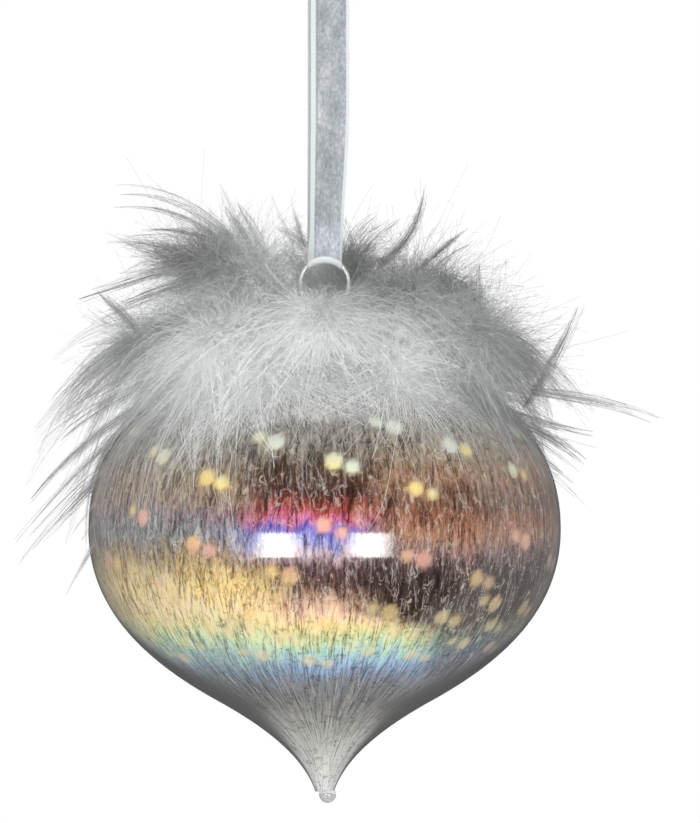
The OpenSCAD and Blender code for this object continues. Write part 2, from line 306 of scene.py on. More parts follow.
def glass_material():
    """Glass with a lustre film: ragged level bands of colour, fine streaks with painted glints, bright spots
    painted over the beads, a painted dark rim and a faint painted glow.
    """
    s = Shader("lustre_glass")
    x, _, z = s.axes()
    wander = s.math("SUBTRACT", s.noise(s.place, 70, 2), 0.5)
    fine = s.math("SUBTRACT", s.noise(along_meridians(s, 0, 4), 26, 4, 0.75), 0.5)
    ragged = s.math("ADD", s.math("MULTIPLY", wander, 3 * MM), s.math("MULTIPLY", fine, 9 * MM))
    height = s.span(s.math("ADD", z, ragged), WIDE_Z + FILM_TOP * MM, WIDE_Z + FILM_BOTTOM * MM, smooth=False)
    left, middle, right = [
        s.ramp(height, [((FILM_TOP - mm) / (FILM_TOP - FILM_BOTTOM), colour) for mm, colour in stops])
        for stops in (FILM_LEFT, FILM_MIDDLE, FILM_RIGHT)]
    patch = s.math("SUBTRACT", s.noise(s.place, 55, 3), 0.5)
    side = s.math("ADD", x, s.math("MULTIPLY", patch, 14 * MM))
    # the gold of the left reaches further in below the widest ring
    inward = s.math("SUBTRACT", side, s.span(z, WIDE_Z - 4 * MM, WIDE_Z - 8 * MM, 0, 5 * MM))
    tint = s.mix(s.span(inward, -20 * MM, -9 * MM), left, middle)
    # below the gold band the bright colours reach further to the right
    wide = s.math("SUBTRACT", side, s.span(z, WIDE_Z - 12 * MM, WIDE_Z - 16 * MM, 0, 9 * MM))
    tint = s.mix(s.span(wide, 3 * MM, 12 * MM), tint, right)
    # long hairlines, some darker and some lighter than the film: the dark ones are streaks in the film, the
    # light ones painted glints along the streaks
    hair = s.noise(along_meridians(s, 0, 3), 64, 5, 0.85)
    lean_one = s.noise(along_meridians(s, 9, 3), 44, 5, 0.8, 0.3)
    lean_other = s.noise(along_meridians(s, -7, 3), 44, 5, 0.8, 0.3)
    dark = s.span(s.math("MINIMUM", hair, s.math("ADD", lean_other, 0.02)), 0.50, 0.38)
    light = s.math("MAXIMUM", s.span(hair, 0.53, 0.64), s.span(lean_one, 0.57, 0.64))
    tint = s.mix(s.math("MULTIPLY", dark, 0.85), tint, s.mix(1.0, tint, srgb(88, 82, 82), "MULTIPLY"))
    # painted glints: the light hairlines lift the film towards near white
    tint = s.mix(s.math("MULTIPLY", light, 0.55), tint, s.mix(0.45, srgb(255, 250, 245), tint))
    # crazing of the film: small dark specks, and light ones but for the drawn tip
    craze = s.noise(s.scale(s.place, (1, 1, 0.6)), 700, 4, 0.8, 1.2)
    tint = s.mix(s.span(craze, 0.47, 0.38, 0, 0.55), tint, s.mix(1.0, tint, srgb(96, 84, 80), "MULTIPLY"))
    flecks = s.math("MULTIPLY", s.span(craze, 0.55, 0.64, 0, 0.4),
                    s.span(z, WIDE_Z - 24 * MM, WIDE_Z - 16 * MM))
    tint = s.mix(flecks, tint, srgb(250, 238, 222))
    # bright spots are painted on the film over each bead that clings to the inside: painted light standing in
    # for the lit beads seen through the glass
    pearl = s.add("ShaderNodeAttribute", attribute_name="pearl").outputs["Fac"]
    hue = s.add("ShaderNodeAttribute", attribute_name="pearl_hue").outputs["Fac"]
    level = s.span(z, WIDE_Z + 14 * MM, WIDE_Z - 16 * MM, smooth=False)
    painted_bead_glow = s.ramp(s.math("ADD", level, s.math("MULTIPLY", s.math("SUBTRACT", hue, 0.5), 0.3)), [
        (0.0, (236, 244, 226)), (0.15, (252, 236, 160)), (0.3, (250, 218, 150)), (0.45, (246, 190, 168)),
        (0.6, (240, 192, 176)), (0.75, (248, 215, 150)), (1.0, (245, 225, 170))])
    shown = s.math("MULTIPLY", pearl, s.span(z, WIDE_Z - 12 * MM, WIDE_Z + 6 * MM, 0.5, 0.95))
    tint = s.mix(shown, tint, painted_bead_glow)
    # painted shade: the colour darkens where the wall is seen edge on at the outline, and most of all low
    # down. It is partly the wall's own darkening seen edge on, partly painted shade standing in for the dark
    # surroundings seen in the glass's edge.
    edge = s.add("ShaderNodeLayerWeight")
    edge.inputs["Blend"].default_value = 0.5
    facing = edge.outputs["Facing"]
    tint = s.mix(s.span(facing, 0.55, 0.86, 0, 0.6), tint, srgb(128, 122, 116))
    rim_shade_amount = s.math("ADD", facing, s.span(z, WIDE_Z - 12 * MM, WIDE_Z - 28 * MM, 0, 0.22))
    tint = s.mix(s.span(rim_shade_amount, 0.80, 0.97, 0, 0.9), tint, srgb(50, 50, 52))
    relief = s.math("ADD", hair, s.math("MULTIPLY", fine, 0.5))
    # the film frosts towards the outline, or the lamps' glancing reflection swallows it
    frost = s.span(facing, 0.66, 0.9, 0.06, 0.6)
    # painted light: the glass glows faintly in its own film colour
    s.put(Base_Color=tint, Roughness=frost, IOR=1.45, Transmission_Weight=0.45, Specular_IOR_Level=0.95,
          Normal=s.bump(relief, 0.012 * MM), Emission_Color=tint, Emission_Strength=0.08)
    return s.material


def tip_material():
    """The clear drop on the tip, with faint cloudy patches."""
    s = Shader("tip_glass")
    tint = s.ramp(s.noise(s.place, 900, 2), [(0.3, (206, 208, 208)), (0.7, (244, 246, 246))])
    # painted light: the drop glows faintly in its own tint
    s.put(Base_Color=tint, Roughness=0.05, IOR=1.48, Transmission_Weight=0.85,
          Emission_Color=tint, Emission_Strength=0.15)
    return s.material


def bead_material():
    """Milky plastic pearls with a thin lustre, tinted by the band of glass they sit behind."""
    s = Shader("bead_pearl")
    _, _, z = s.axes()
    height = s.span(z, WIDE_Z + 24 * MM, WIDE_Z - 24 * MM, smooth=False)
    tint = s.ramp(height, [(0.08, (250, 248, 236)), (0.3, (255, 236, 160)), (0.45, (255, 206, 180)),
                           (0.6, (250, 214, 200)), (0.8, (255, 240, 205)), (1.0, (236, 246, 220))])
    tint = s.mix(s.span(s.noise(s.place, 400, 2), 0.45, 0.6), tint, srgb(255, 250, 240))
    # painted light: the pearls glow in their own tint
    s.put(Base_Color=tint, Roughness=0.22, Specular_IOR_Level=0.7, Coat_Weight=0.5,
          Emission_Color=tint, Emission_Strength=0.25)
    return s.material


def wire_material():
    """Bright wire, a little worn in places."""
    s = Shader("bright_wire")
    worn = s.noise(s.scale(s.place, (1, 1, 0.3)), 1500, 4, 0.6)
    tint = s.ramp(worn, [(0.35, (214, 216, 216)), (0.65, (250, 251, 250))])
    # painted light: the wire glows faintly in its own tint, so it reads bright all round
    s.put(Base_Color=tint, Metallic=0.45, Roughness=s.span(worn, 0.3, 0.7, 0.22, 0.4),
          Normal=s.bump(worn, 0.01 * MM), Emission_Color=tint, Emission_Strength=0.2)
    return s.material


def cap_material():
    """Plated metal with a fine grain drawn up the cap."""
    s = Shader("plated_cap")
    grain = s.noise(along_meridians(s, 0, 100), 90, 4, 0.6)
    tint = s.ramp(grain, [(0.3, (178, 180, 182)), (0.7, (226, 228, 230))])
    s.put(Base_Color=tint, Metallic=1.0, Roughness=s.span(grain, 0.3, 0.7, 0.18, 0.36),
          Normal=s.bump(grain, 0.02 * MM))
    return s.material


def plume_material():
    """White down, with painted shade: bright near the core, painted greyer towards the thin tips and in the
    crown beside the ring.
    """
    s = Shader("white_down")
    x, _, z = s.axes()
    # painted shade: the down is painted greyer the further out from the core and the higher in the crown
    reach = s.add("ShaderNodeVectorMath", operation="LENGTH")
    s.link(s.scale(s.vector("ADD", s.place, (3 * MM, 0, 0)), (1, 0.45, 0)), reach.inputs[0])
    out = s.span(reach.outputs["Value"], 17 * MM, 41 * MM)
    aside = s.span(s.math("ABSOLUTE", s.math("ADD", x, 7 * MM)), 3 * MM, 15 * MM, 0.4, 1)
    high = s.math("MULTIPLY", s.span(z, RIM_Z - 7 * MM, RIM_Z + 13 * MM), aside)
    bright = s.math("MULTIPLY", s.math("SUBTRACT", 1.0, out), s.math("SUBTRACT", 1.0, high))
    grey = s.math("SUBTRACT", 1.0, bright)
    mottle = s.noise(s.place, 350, 3, 0.6)
    tint = s.ramp(s.math("ADD", grey, s.math("MULTIPLY", s.math("SUBTRACT", mottle, 0.5), 0.5)),
                  [(0.0, (224, 226, 225)), (0.45, (184, 187, 186)), (1.0, (138, 138, 139))])
    # painted light: the down glows faintly in its own tint, which lifts its shadows
    s.put(Base_Color=tint, Roughness=0.85, Specular_IOR_Level=0.2,
          Emission_Color=tint, Emission_Strength=0.10)
    return s.material


def core_material():
    """Dull white cord, wound turn over turn, with painted shade between the turns."""
    s = Shader("wound_cord")
    _, _, z = s.axes()
    cord = 0.9 * MM
    wave = s.math("SINE", s.math("MULTIPLY", z, 2 * math.pi / cord))
    # painted shade: the colour darkens in a wave with each turn, darkest in the grooves between turns
    tint = s.ramp(s.math("ADD", s.math("MULTIPLY", wave, 0.25), s.noise(s.place, 1800, 3)),
                  [(0.2, (168, 168, 166)), (0.8, (234, 234, 230))])
    s.put(Base_Color=tint, Roughness=0.9, Normal=s.bump(wave, 0.15 * MM))
    return s.material


def ribbon_material():
    """Silver-grey velvet with satin selvages, wide on the left and narrow on the right."""
    s = Shader("velvet_ribbon")
    x, _, z = s.axes()
    lift = s.span(z, RING_TOP, RING_TOP + GATHERS_OVER)
    middle = s.span(lift, 0, 1, LEAN_LOW + SHIFT_LOW, LEAN_TOP + SHIFT_TOP, smooth=False)
    half = s.span(lift, 0, 1, HALF_LOW, HALF_TOP, smooth=False)
    across = s.math("DIVIDE", s.math("SUBTRACT", x, middle), half)
    pile = s.noise(s.scale(s.place, (1, 1, 0.45)), 2600, 4, 0.7)
    cloud = s.noise(s.scale(s.place, (1, 1, 0.5)), 420, 3, 0.6)
    velvet = s.ramp(s.math("ADD", s.math("MULTIPLY", pile, 0.6), s.math("MULTIPLY", cloud, 0.4)),
                    [(0.34, (140, 147, 151)), (0.5, (176, 182, 189)), (0.62, (208, 212, 218)),
                     (0.7, (240, 242, 246))])
    weft = 0.22 * MM
    thread = s.math("SINE", s.math("MULTIPLY", z, 2 * math.pi / weft))
    satin = s.ramp(s.span(thread, -1, 1), [(0.2, (186, 192, 192)), (0.8, (212, 217, 217))])
    edge = s.math("MAXIMUM", s.span(across, -0.70, -0.78), s.span(across, 0.80, 0.87))
    seam = s.math("MULTIPLY", s.span(across, -0.78, -0.70), s.span(across, -0.60, -0.68))
    # painted shade: the velvet is painted darker from 2 mm above the ring's top, fully from 9 mm up
    shade = s.mix(s.span(z, RING_TOP + 2 * MM, RING_TOP + 9 * MM), srgb(255, 255, 255), srgb(220, 218, 215))
    tint = s.mix(edge, s.mix(1.0, velvet, shade, "MULTIPLY"), satin)
    tint = s.mix(s.math("MULTIPLY", seam, 0.5), tint, srgb(130, 138, 140))
    # painted highlight: the ribbon is painted light where it bends under the wire and the pile stands open
    centre_out = s.add("ShaderNodeVectorMath", operation="LENGTH")
    s.link(s.scale(s.vector("SUBTRACT", s.place, (0, 0, RING_Z)), (1, 0, 1)), centre_out.inputs[0])
    painted_fold_highlight = s.span(centre_out.outputs["Value"], RING_OUT + 0.25 * MM, RING_OUT - 0.15 * MM)
    tint = s.mix(painted_fold_highlight, tint, srgb(238, 242, 242))
    relief = s.math("ADD", s.math("MULTIPLY", pile, 0.8), s.math("MULTIPLY", thread, 0.15))
    s.put(Base_Color=tint, Roughness=s.span(edge, 0, 1, 0.8, 0.35), Sheen_Weight=0.25,
          Normal=s.bump(relief, 0.12 * MM))
    return s.material


# ---- ribbon ----
CUT_Z = fold_high.z + 2.2 * MM               # where the long layers meet the fold's short ones
KNOT_Z = (knot_low.z + knot_high.z) / 2
RIBBON_T = 0.4 * MM                          # thickness, pile and all
GATHERS_OVER = 26 * MM                       # the ribbon narrows over this length above the ring
HALF_TOP, HALF_LOW = 3.25 * MM, 2.75 * MM    # half width above that length, and at the ring
HALF_WIRE = 2.9 * MM                         # half width where it turns under the wire
SHIFT_TOP, SHIFT_LOW = 0.28 * MM, 0.24 * MM  # each layer's offset: front to the right, back to the left
LEAN_TOP, LEAN_LOW = 0.65 * MM, 0.05 * MM    # of both layers to the right


def along_ribbon(z, low, high):
    """Eases from low at the ring to high where the ribbon has its full width."""
    t = min(max((z - RING_TOP) / GATHERS_OVER, 0), 1)
    return low + (high - low) * t * t * (3 - 2 * t)


def half_width(z):
    """Half the ribbon's width: it gathers a little just above the ring."""
    return along_ribbon(z, HALF_LOW, HALF_TOP)


def middle_x(side, z):
    """Middle of a layer; side is -1 in front and 1 behind."""
    return along_ribbon(z, LEAN_LOW, LEAN_TOP) - side * along_ribbon(z, SHIFT_LOW, SHIFT_TOP)


def strap_grid(side, top, bottom):
    """Rows of points across one hanging layer, which bulges softly here and there."""
    rows, step = [], 0.6 * MM
    for z in np.linspace(top, bottom, max(3, round((top - bottom) / step))):
        half = half_width(z)
        bulge = 0.05 * MM * math.sin(z / MM * 0.9) + 0.04 * MM * math.sin(z / MM * 2.3 + side)
        bulge *= min(1, (z - bottom) / (8 * MM))
        rows.append([(middle_x(side, z) + half * u, side * (LAYER_Y + bulge * (1 - u * u)), z)
                     for u in np.linspace(-1, 1, 15)])
    return rows


def make_ribbon(side, name, nodes, material):
    """One long layer, from inside the knot down to the fold, and its middle line."""
    strap = new_piece(name, slab(name, strap_grid(side, KNOT_Z, CUT_Z), RIBBON_T), material)
    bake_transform(strap)
    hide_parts(*nodes)
    path = [(middle_x(side, z), side * LAYER_Y, z) for z in np.linspace(CUT_Z, KNOT_Z, 24)]
    return strap, path


def fold_grid():
    """Down the front, under the wire and up the back, following the ring's arc."""
    rows = []
    stages = [("front", t) for t in np.linspace(0, 1, 9)]
    stages += [("turn", t) for t in np.linspace(0, 1, 11)[1:-1]]
    stages += [("back", t) for t in np.linspace(1, 0, 9)]
    for kind, t in stages:
        row = []
        for u in np.linspace(-1, 1, 21):
            end = u * HALF_WIRE
            wire_z = RING_Z + math.sqrt(RING_R ** 2 - end ** 2)
            if kind == "turn":
                a = math.pi * t
                row.append((end, -LAYER_Y * math.cos(a), wire_z - LAYER_Y * math.sin(a) * 0.9))
                continue
            side = -1 if kind == "front" else 1
            start = middle_x(side, CUT_Z) + half_width(CUT_Z) * u
            z = CUT_Z + (wire_z - CUT_Z) * t
            ease = t * t * (3 - 2 * t)
            row.append((start + (end - start) * ease, side * LAYER_Y, z))
        rows.append(row)
    return rows


def make_fold(material):
    """The short turn of ribbon round the wire."""
    fold = new_piece("ribbon_fold_wrap", slab("ribbon_fold_wrap", fold_grid(), RIBBON_T), material)
    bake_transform(fold)
    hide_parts("ribbon_fold", "ribbon_front_lower", "ribbon_back_lower")
    return fold


def make_eye(material):
    """The strip's turn over the hook, down into the knot on both sides."""
    inset = 0.25 * MM                # from the box's face to the middle of the ribbon
    radius = (eye_high.y - eye_low.y) / 2 - inset
    centre = eye_high.z - inset - radius
    line = [(-LAYER_Y, KNOT_Z), (-LAYER_Y, knot_high.z)]
    for a in np.radians(np.linspace(200, -20, 23)):
        line.append((radius * math.cos(a), centre + radius * math.sin(a)))
    line += [(LAYER_Y, knot_high.z), (LAYER_Y, KNOT_Z)]
    grid = [[(HALF_TOP * u * 1.15, y, z) for u in np.linspace(-1, 1, 13)] for y, z in line]
    eye = new_piece("ribbon_eye_turn", slab("ribbon_eye_turn", grid, RIBBON_T), material, "ribbon")
    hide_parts("ribbon_eye")
    return eye


def make_knot(material):
    """A turn of ribbon wrapped round both layers, pulled in at its middle."""
    inset = 0.3 * MM                 # from the box's face to the middle of the wrap
    wide, deep = knot_high.x - inset, knot_high.y - inset
    high = (knot_high.z - knot_low.z) / 2 * 0.97
    grid = []
    for a in np.linspace(0, 2 * math.pi, 49):
        row = []
        for t in np.linspace(-1, 1, 9):
            squeeze = 0.90 + 0.06 * t * t + 0.02 * math.sin(5 * a + 4 * t)
            c, s = math.cos(a), math.sin(a)
            x = wide * math.copysign(abs(c) ** 0.55, c) * squeeze
            y = deep * math.copysign(abs(s) ** 0.75, s) * squeeze
            row.append((x, y, KNOT_Z + t * high))
        grid.append(row)
    knot = new_piece("ribbon_knot_wrap", slab("ribbon_knot_wrap", grid, 0.35 * MM), material, "ribbon")
    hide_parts("ribbon_knot")
    return knot


def make_whole_ribbon():
    """All five pieces of the strip."""
    velvet = ribbon_material()
    front, front_path = make_ribbon(-1, "ribbon_front", ["ribbon_front_upper", "ribbon_front_lower"], velvet)
    back, back_path = make_ribbon(1, "ribbon_back", ["ribbon_back_upper", "ribbon_back_lower"], velvet)
    fold, eye, knot = make_fold(velvet), make_eye(velvet), make_knot(velvet)


make_whole_ribbon()


# ---- glass ----
def bezier(points, t):
    """The point at t of the curve with these control points."""
    points = np.asarray(points, float)
    while len(points) > 1:
        points = points[:-1] * (1 - t) + points[1:] * t
    return points[0]


# The glass below its widest ring: two curves of (radius, height), in parts of the widest radius
BELLY = [(1, 0), (1, -0.3625), (0.7125, -0.58), (0.45, -0.725)]
SWEEP = [(0.45, -0.725), (0.2525, -0.835), (0.09, -0.96), (0.04, -1.1075)]
NECK_STEPS = (0, 0.25, 0.5, 0.75)        # the outline's points down the neck, in parts of its length


def glass_outline():
    """Outside of the glass from the rim to the tip, (radius, z)."""
    top = math.asin(NECK_PART ** (POWER / 2))
    points = [(NECK_R, RIM_Z - part * (RIM_Z - WIDE_Z - SHOULDER * NECK_PART)) for part in NECK_STEPS]
    for a in np.linspace(top, 0, 76):
        points.append((R * math.cos(a) ** (2 / POWER), WIDE_Z + SHOULDER * math.sin(a) ** (2 / POWER)))
    for curve, count in ((BELLY, 60), (SWEEP, 44)):
        for t in np.linspace(0, 1, count)[1:]:
            r, z = bezier(curve, t)
            points.append((R * r, WIDE_Z + R * z))
    return np.array(points)


def glass_radius(z):
    """Outside radius of the glass at a height."""
    outer = glass_outline()[::-1]
    return np.interp(z, outer[:, 1], outer[:, 0])


def bead_centres():
    """Centre of each loose bead, from the islands of the bead nodes' meshes."""
    centres = []
    for node in BEADS:
        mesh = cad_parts[node].data
        links = [[] for _ in mesh.vertices]
        for edge in mesh.edges:
            a, b = edge.vertices
            links[a].append(b)
            links[b].append(a)
        seen = [False] * len(links)
        for start in range(len(links)):
            if seen[start]:
                continue
            seen[start] = True
            island = [start]
            for point in island:
                for other in links[point]:
                    if not seen[other]:
                        seen[other] = True
                        island.append(other)
            co = np.array([mesh.vertices[i].co for i in island])
            centres.append((co.min(0) + co.max(0)) / 2)
    return np.array(centres)


def mark_pearls(mesh):
    """Stores on the glass how squarely each point lies over a bead, and a hue for that bead, for the bright
    spots painted on the film over the beads.
    """
    co = np.empty(len(mesh.vertices) * 3, np.float32)
    mesh.vertices.foreach_get("co", co)
    co = co.reshape(-1, 3)
    centres = bead_centres()
    nearest = np.full(len(co), 1.0)  # a metre, further than any bead
    which = np.zeros(len(co), int)
    for i, centre in enumerate(centres):
        away = np.linalg.norm(co - centre, axis=1)
        closer = away < nearest
        nearest[closer] = away[closer]
        which[closer] = i
    depth = 2.0 * MM                 # from the outside of the glass to a bead's middle
    spot, blur = 1.62 * MM, 0.75 * MM    # radius of the bright spot over a bead; width of its soft edge
    golden = 0.618                   # steps of this spread the hues evenly
    aside = np.sqrt(np.maximum(nearest ** 2 - depth ** 2, 0))
    pearl = np.clip((spot - aside) / blur, 0, 1)
    for name, values in (("pearl", pearl * pearl * (3 - 2 * pearl)), ("pearl_hue", (which * golden) % 1.0)):
        layer = mesh.attributes.new(name, "FLOAT", "POINT")
        layer.data.foreach_set("value", values.astype(np.float32))


def make_glass():
    """One closed skin of even wall, solid for the last stretch above the tip bead."""
    outer = glass_outline()
    step = np.gradient(outer, axis=0)
    normal = np.stack([-step[:, 1], step[:, 0]], 1)
    normal /= np.linalg.norm(normal, axis=1, keepdims=True)
    inner = outer - WALL * normal
    neck = len(NECK_STEPS)
    inner[:neck, 1] = outer[:neck, 1]    # the neck's inner points are level with its outer ones
    inner = inner[:-8:3]             # the inside needs fewer points, and ends above the tip
    tiny = 0.02 * MM                 # the outline's ends stay this far off the axis
    ends = [(tiny, outer[-1, 1] - 0.1 * MM), (tiny, inner[-1, 1] - 0.8 * MM)]
    mesh = lathe("glass_skin", np.concatenate([outer, ends, inner[::-1]])[::-1], 360)
    mark_pearls(mesh)
    skin = new_piece("glass_skin", mesh, glass_material(), "globe")
    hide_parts("glass_shell")


make_glass()


# ---- plumes ----
rng = np.random.default_rng(11)
# each strand keeps off the front of the ring's upper half, and off a random part of its lower half
VEIL = 0.95                              # the largest such part
SWING_CLEAR = math.radians(26)           # strands keep off the ribbon to one degree past each joint's range
ROCK_CLEAR = math.radians(21)
OFF_GLASS = 0.5 * MM                     # locks and fluff that meet the glass are lifted this far off it


def unit(v):
    """Each vector at length one."""
    return v / (np.linalg.norm(v, axis=-1, keepdims=True) + 1e-12)


def in_the_way(lines):
    """True for each strand that would hide the ring, or that the ribbon would cut as it moves."""
    x, y, z = lines[..., 0], lines[..., 1], lines[..., 2]
    arch = np.sqrt(np.maximum((RING_OUT + 0.6 * MM) ** 2 - x ** 2, 0))
    veil = rng.uniform(0.0, VEIL, (len(lines), 1))
    level = np.where(np.abs(x) < RING_OUT, RING_Z - veil * arch, RING_Z)
    hiding = (np.abs(x) < RING_OUT + 0.8 * MM) & (y < 1.2 * MM) & (z > level)
    above = np.maximum(z - RING_TOP, 0)
    swung = np.abs(y) < 1.8 * MM + above * math.tan(SWING_CLEAR)
    rocked = np.abs(x) < HALF_TOP + 1.2 * MM + above * math.tan(ROCK_CLEAR)
    return (hiding | (swung & rocked & (z > RING_TOP - 2 * MM))).any(axis=1)


def strands(name, batches):
    """Thin flat strands. Each batch is (lines, width at root, width at tip); lines is an array
    of polylines, count by points by 3."""
    points, quads, start = [], [], 0
    for lines, wide, thin in batches:
        lines = lines[~in_the_way(lines)]
        count, steps = lines.shape[:2]
        way = np.gradient(lines, axis=1)
        across = unit(np.cross(way, rng.normal(size=(count, 1, 3))))
        width = np.linspace(wide, thin, steps)[None, :, None] / 2
        points.append(np.stack([lines - across * width, lines + across * width], 2).reshape(-1, 3))
        index = start + np.arange(count * steps * 2).reshape(count, steps, 2)
        corners = [index[:, :-1, 0], index[:, :-1, 1], index[:, 1:, 1], index[:, 1:, 0]]
        quads.append(np.stack(corners, -1).reshape(-1, 4))
        start += count * steps * 2
    return quads_mesh(name, np.concatenate(points), np.concatenate(quads))


def grow(root, way, length, steps, droop, curl):
    """Polylines from roots along directions, which droop and curl to one side."""
    count = len(root)
    s = np.linspace(0, 1, steps)[None, :, None]
    length = np.broadcast_to(np.asarray(length, float), (count,))[:, None, None]
    side = unit(np.cross(way, rng.normal(size=(count, 3))))[:, None, :]
    sway = curl * rng.normal(size=(count, 1, 1)) * s ** 2
    fall = np.array([0, 0, -droop])
    return root[:, None, :] + length * (way[:, None, :] * s + side * sway + fall * s ** 2)


def locks(guides, per_lock, swell):
    """Strands that follow each guide: loose in its first half and drawn to a point at its tip."""
    s = np.linspace(0, 1, guides.shape[1])[None, :, None]
    fat = swell * (0.35 + 1.9 * s * (1 - s)) * (1 - 0.9 * s ** 3)
    lines = np.repeat(guides, per_lock, axis=0)
    count = len(lines)
    away = rng.normal(size=(count, 1, 3))
    wave = 0.35 * swell * rng.normal(size=(count, 1, 3))
    turns = s * rng.uniform(0.6, 1.6, (count, 1, 1)) + rng.random((count, 1, 1))
    wave = wave * np.sin(2 * math.pi * turns)
    lines = lines + away * fat + wave * s * (1 - 0.7 * s)
    reach = rng.uniform(0.62, 1.0, (count, 1, 1))
    return resample(lines, reach)


def resample(lines, reach):
    """Shortens each polyline to a part of its length, keeping its number of points."""
    count, steps = lines.shape[:2]
    place = np.linspace(0, 1, steps)[None, :, None] * reach * (steps - 1)
    low = np.minimum(place.astype(int), steps - 2)
    part = place - low
    rows = np.arange(count)[:, None]
    return lines[rows, low[..., 0]] * (1 - part) + lines[rows, low[..., 0] + 1] * part


def barbules(lines, per_barb, length, cover):
    """Short down on both sides of each line, over the first part of it."""
    count, steps = lines.shape[:2]
    t = rng.uniform(0.02, cover, (count, per_barb))
    place = t * (steps - 1)
    low = np.minimum(place.astype(int), steps - 2)
    part = (place - low)[..., None]
    rows = np.arange(count)[:, None]
    a, b = lines[rows, low], lines[rows, low + 1]
    root = (a + (b - a) * part).reshape(-1, 3)
    way = unit((b - a).reshape(-1, 3))
    side = unit(np.cross(way, rng.normal(size=way.shape)))
    size = length * (1.15 - t.reshape(-1) / cover * 0.7) * rng.uniform(0.6, 1.3, len(root))
    return grow(root, unit(way * 0.9 + side), size, 3, 0.05, 0.4)


def above_glass(points):
    """Lifts points out of the glass, onto its outside, but for the neck."""
    neck = RIM_Z - 4 * MM
    radius = np.linalg.norm(points[..., :2], axis=-1)
    z = points[..., 2]
    rise = np.clip((z - WIDE_Z) / SHOULDER, 0, 1)
    skin = np.where(z > WIDE_Z, R * (1 - rise ** POWER) ** (1 / POWER), R) + OFF_GLASS
    push = np.where((radius < skin) & (z < neck), skin / np.maximum(radius, 1e-6), 1.0)
    out = points.copy()
    out[..., :2] *= push[..., None]
    return out


def drape(azimuth, spread, count, low, high, drift):
    """Fine barbs that lie down the outside of the glass from the shoulder, each curving aside. They
    end between low and high, in mm above the widest ring."""
    steps = 14
    s = np.linspace(0, 1, steps)[None, :]
    turn = azimuth + rng.uniform(-spread, spread, (count, 1))
    top = RIM_Z - rng.uniform(8, 12, (count, 1)) * MM
    bottom = WIDE_Z + rng.uniform(low, high, (count, 1)) * MM
    z = top + (bottom - top) * s
    turn = turn + drift * rng.normal(size=(count, 1)) * s ** 1.5 + 0.03 * np.sin(6 * s + turn * 9)
    radius = glass_radius(z) + rng.uniform(0.3, 1.0, (count, 1)) * MM
    return np.stack([radius * np.cos(turn), radius * np.sin(turn), z], -1)


def spine_of(node):
    """Azimuth of a CAD plume, where its middle line begins and ends, and its height by radius."""
    co = np.array([v.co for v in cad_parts[node].data.vertices])
    low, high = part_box(node)
    azimuth = math.atan2(low.y + high.y, low.x + high.x)
    out = co[:, 0] * math.cos(azimuth) + co[:, 1] * math.sin(azimuth)
    return azimuth, out.min(), out.max(), np.polynomial.Polynomial.fit(out, co[:, 2], 3)


def make_plume(node, material, look):
    """One soft plume: a short quill, long locks that leave it at small angles, and down."""
    azimuth, begin, end, height = spine_of(node)
    radial = np.array([math.cos(azimuth), math.sin(azimuth), 0])
    lateral = np.array([-radial[1], radial[0], 0])
    steps = 24
    t = np.linspace(0, 1, steps)
    out = begin - 2.0 * MM + (end - begin) * look["quill"] * t
    lean = look["lean"] * t ** 1.5 * (end - begin)
    quill = out[:, None] * radial + lean[:, None] * lateral
    quill[:, 2] += height(np.clip(out, begin, end)) - look["sink"] * MM * t
    tangent = unit(np.gradient(quill, axis=0))
    upward = unit(np.cross(tangent, lateral))
    upward *= np.sign(upward[:, 2:3] + 1e-9)

    def sprout(count, low, high, spread_low, spread_high, lift):
        """Roots along a part of the quill, with directions that leave it by some degrees."""
        place = rng.uniform(low, high, count)
        i = np.clip((place * (steps - 1)).astype(int), 0, steps - 2)
        part = (place * (steps - 1) - i)[:, None]
        root = quill[i] * (1 - part) + quill[i + 1] * part
        spread = np.radians(rng.uniform(spread_low, spread_high, count))[:, None]
        turn = rng.uniform(0, 2 * math.pi, count)[:, None]
        off = unit(lateral * np.cos(turn) + upward[i] * np.sin(turn) * lift)
        return root, unit(tangent[i] * np.cos(spread) + off * np.sin(spread)), place

    root, way, place = sprout(look["locks"], 0.0, 0.95, 8, look["spread"], look["lift"])
    size = look["long"] * MM * (0.75 + 0.35 * np.sin(math.pi * place)) * rng.uniform(0.7, 1.2, len(place))
    guides = grow(root, way, size, 11, look["droop"], 0.2)
    barbs = above_glass(locks(guides, look["per_lock"], look["swell"] * MM))
    soft = barbules(barbs, 8, 1.9 * MM, 0.75)
    fluff_root, fluff_way, _ = sprout(look["fluff"], 0.0, 0.95, 20, 115, 0.9)
    fluff_size = rng.uniform(4, look["fluff_long"], look["fluff"]) * MM
    fluff = above_glass(grow(fluff_root, fluff_way, fluff_size, 6, 0.15, 0.7))
    fluff_down = barbules(fluff, 5, 1.9 * MM, 0.98)
    laid = drape(azimuth, look["laid_spread"], look["laid"], look["laid_low"], 13, 0.16)
    mesh = strands(node + "_down", [
        (quill[None], 0.16 * MM, 0.08 * MM),
        (barbs, 0.06 * MM, 0.035 * MM),
        (soft, 0.045 * MM, 0.025 * MM),
        (fluff, 0.045 * MM, 0.03 * MM),
        (fluff_down, 0.04 * MM, 0.02 * MM),
        (laid, 0.06 * MM, 0.035 * MM),
    ])
    plume = new_piece(node + "_down", mesh, material, "hanger")
    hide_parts(node)


# A plume's looks. quill, its length in parts of the CAD plume's; locks, their number, with per_lock
# strands, long in mm, with droop at their ends, lift off the plume's plane, spread in degrees and swell
# in mm; lean, of the quill to one side; sink, of its end in mm; fluff, the number of loose strands, up
# to fluff_long mm; laid, the number of barbs laid down the glass, over laid_spread radians to each side,
# to laid_low mm above the widest ring
PLAIN = {"quill": 0.62, "locks": 32, "per_lock": 20, "long": 22, "droop": 0.35, "lift": 0.35, "sink": 0,
         "spread": 55, "swell": 1.3, "fluff": 1800, "fluff_long": 12, "laid": 1, "laid_spread": 0.4,
         "laid_low": 4}


